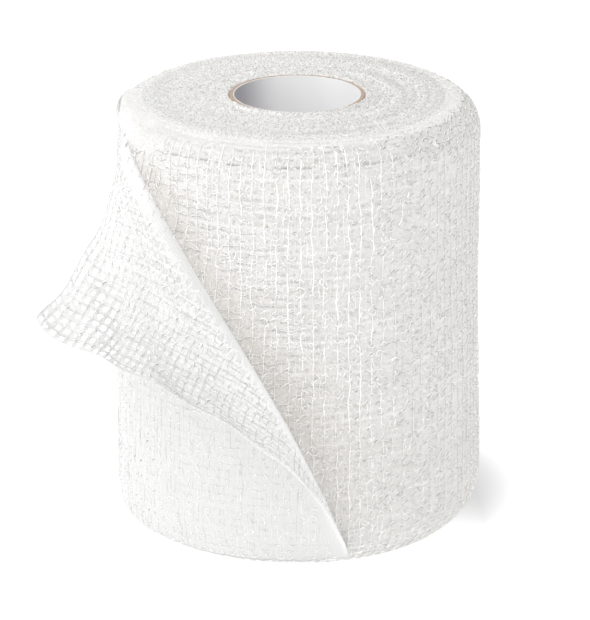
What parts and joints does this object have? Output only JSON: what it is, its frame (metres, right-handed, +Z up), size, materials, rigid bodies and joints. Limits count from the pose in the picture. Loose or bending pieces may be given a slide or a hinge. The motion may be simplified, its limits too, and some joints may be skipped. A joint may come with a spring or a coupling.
{
  "type": "adhesive fixation tape roll",
  "caption": "Open-weave fixation bandage wound on a card core and stood on end, with the top corner of its loose end peeled off and folded over.",
  "frame": {"origin": "middle of the whole roll's footprint, folded corner included, on the surface it stands on", "axes": "+Z up along the roll's axis; -Y towards the viewer of the picture; the folded corner points to -X and -Y"},
  "size_m": [0.099, 0.0992, 0.1],
  "materials": {
    "card": "matt kraft card, paler inside",
    "cloth": "matt open-weave crepe",
    "loose_cloth": "matt open-weave crepe"
  },
  "bodies": {
    "root": {"core_tube": "card", "wound_roll": "cloth", "loose_end": "loose_cloth"}
  },
  "joints": []
}
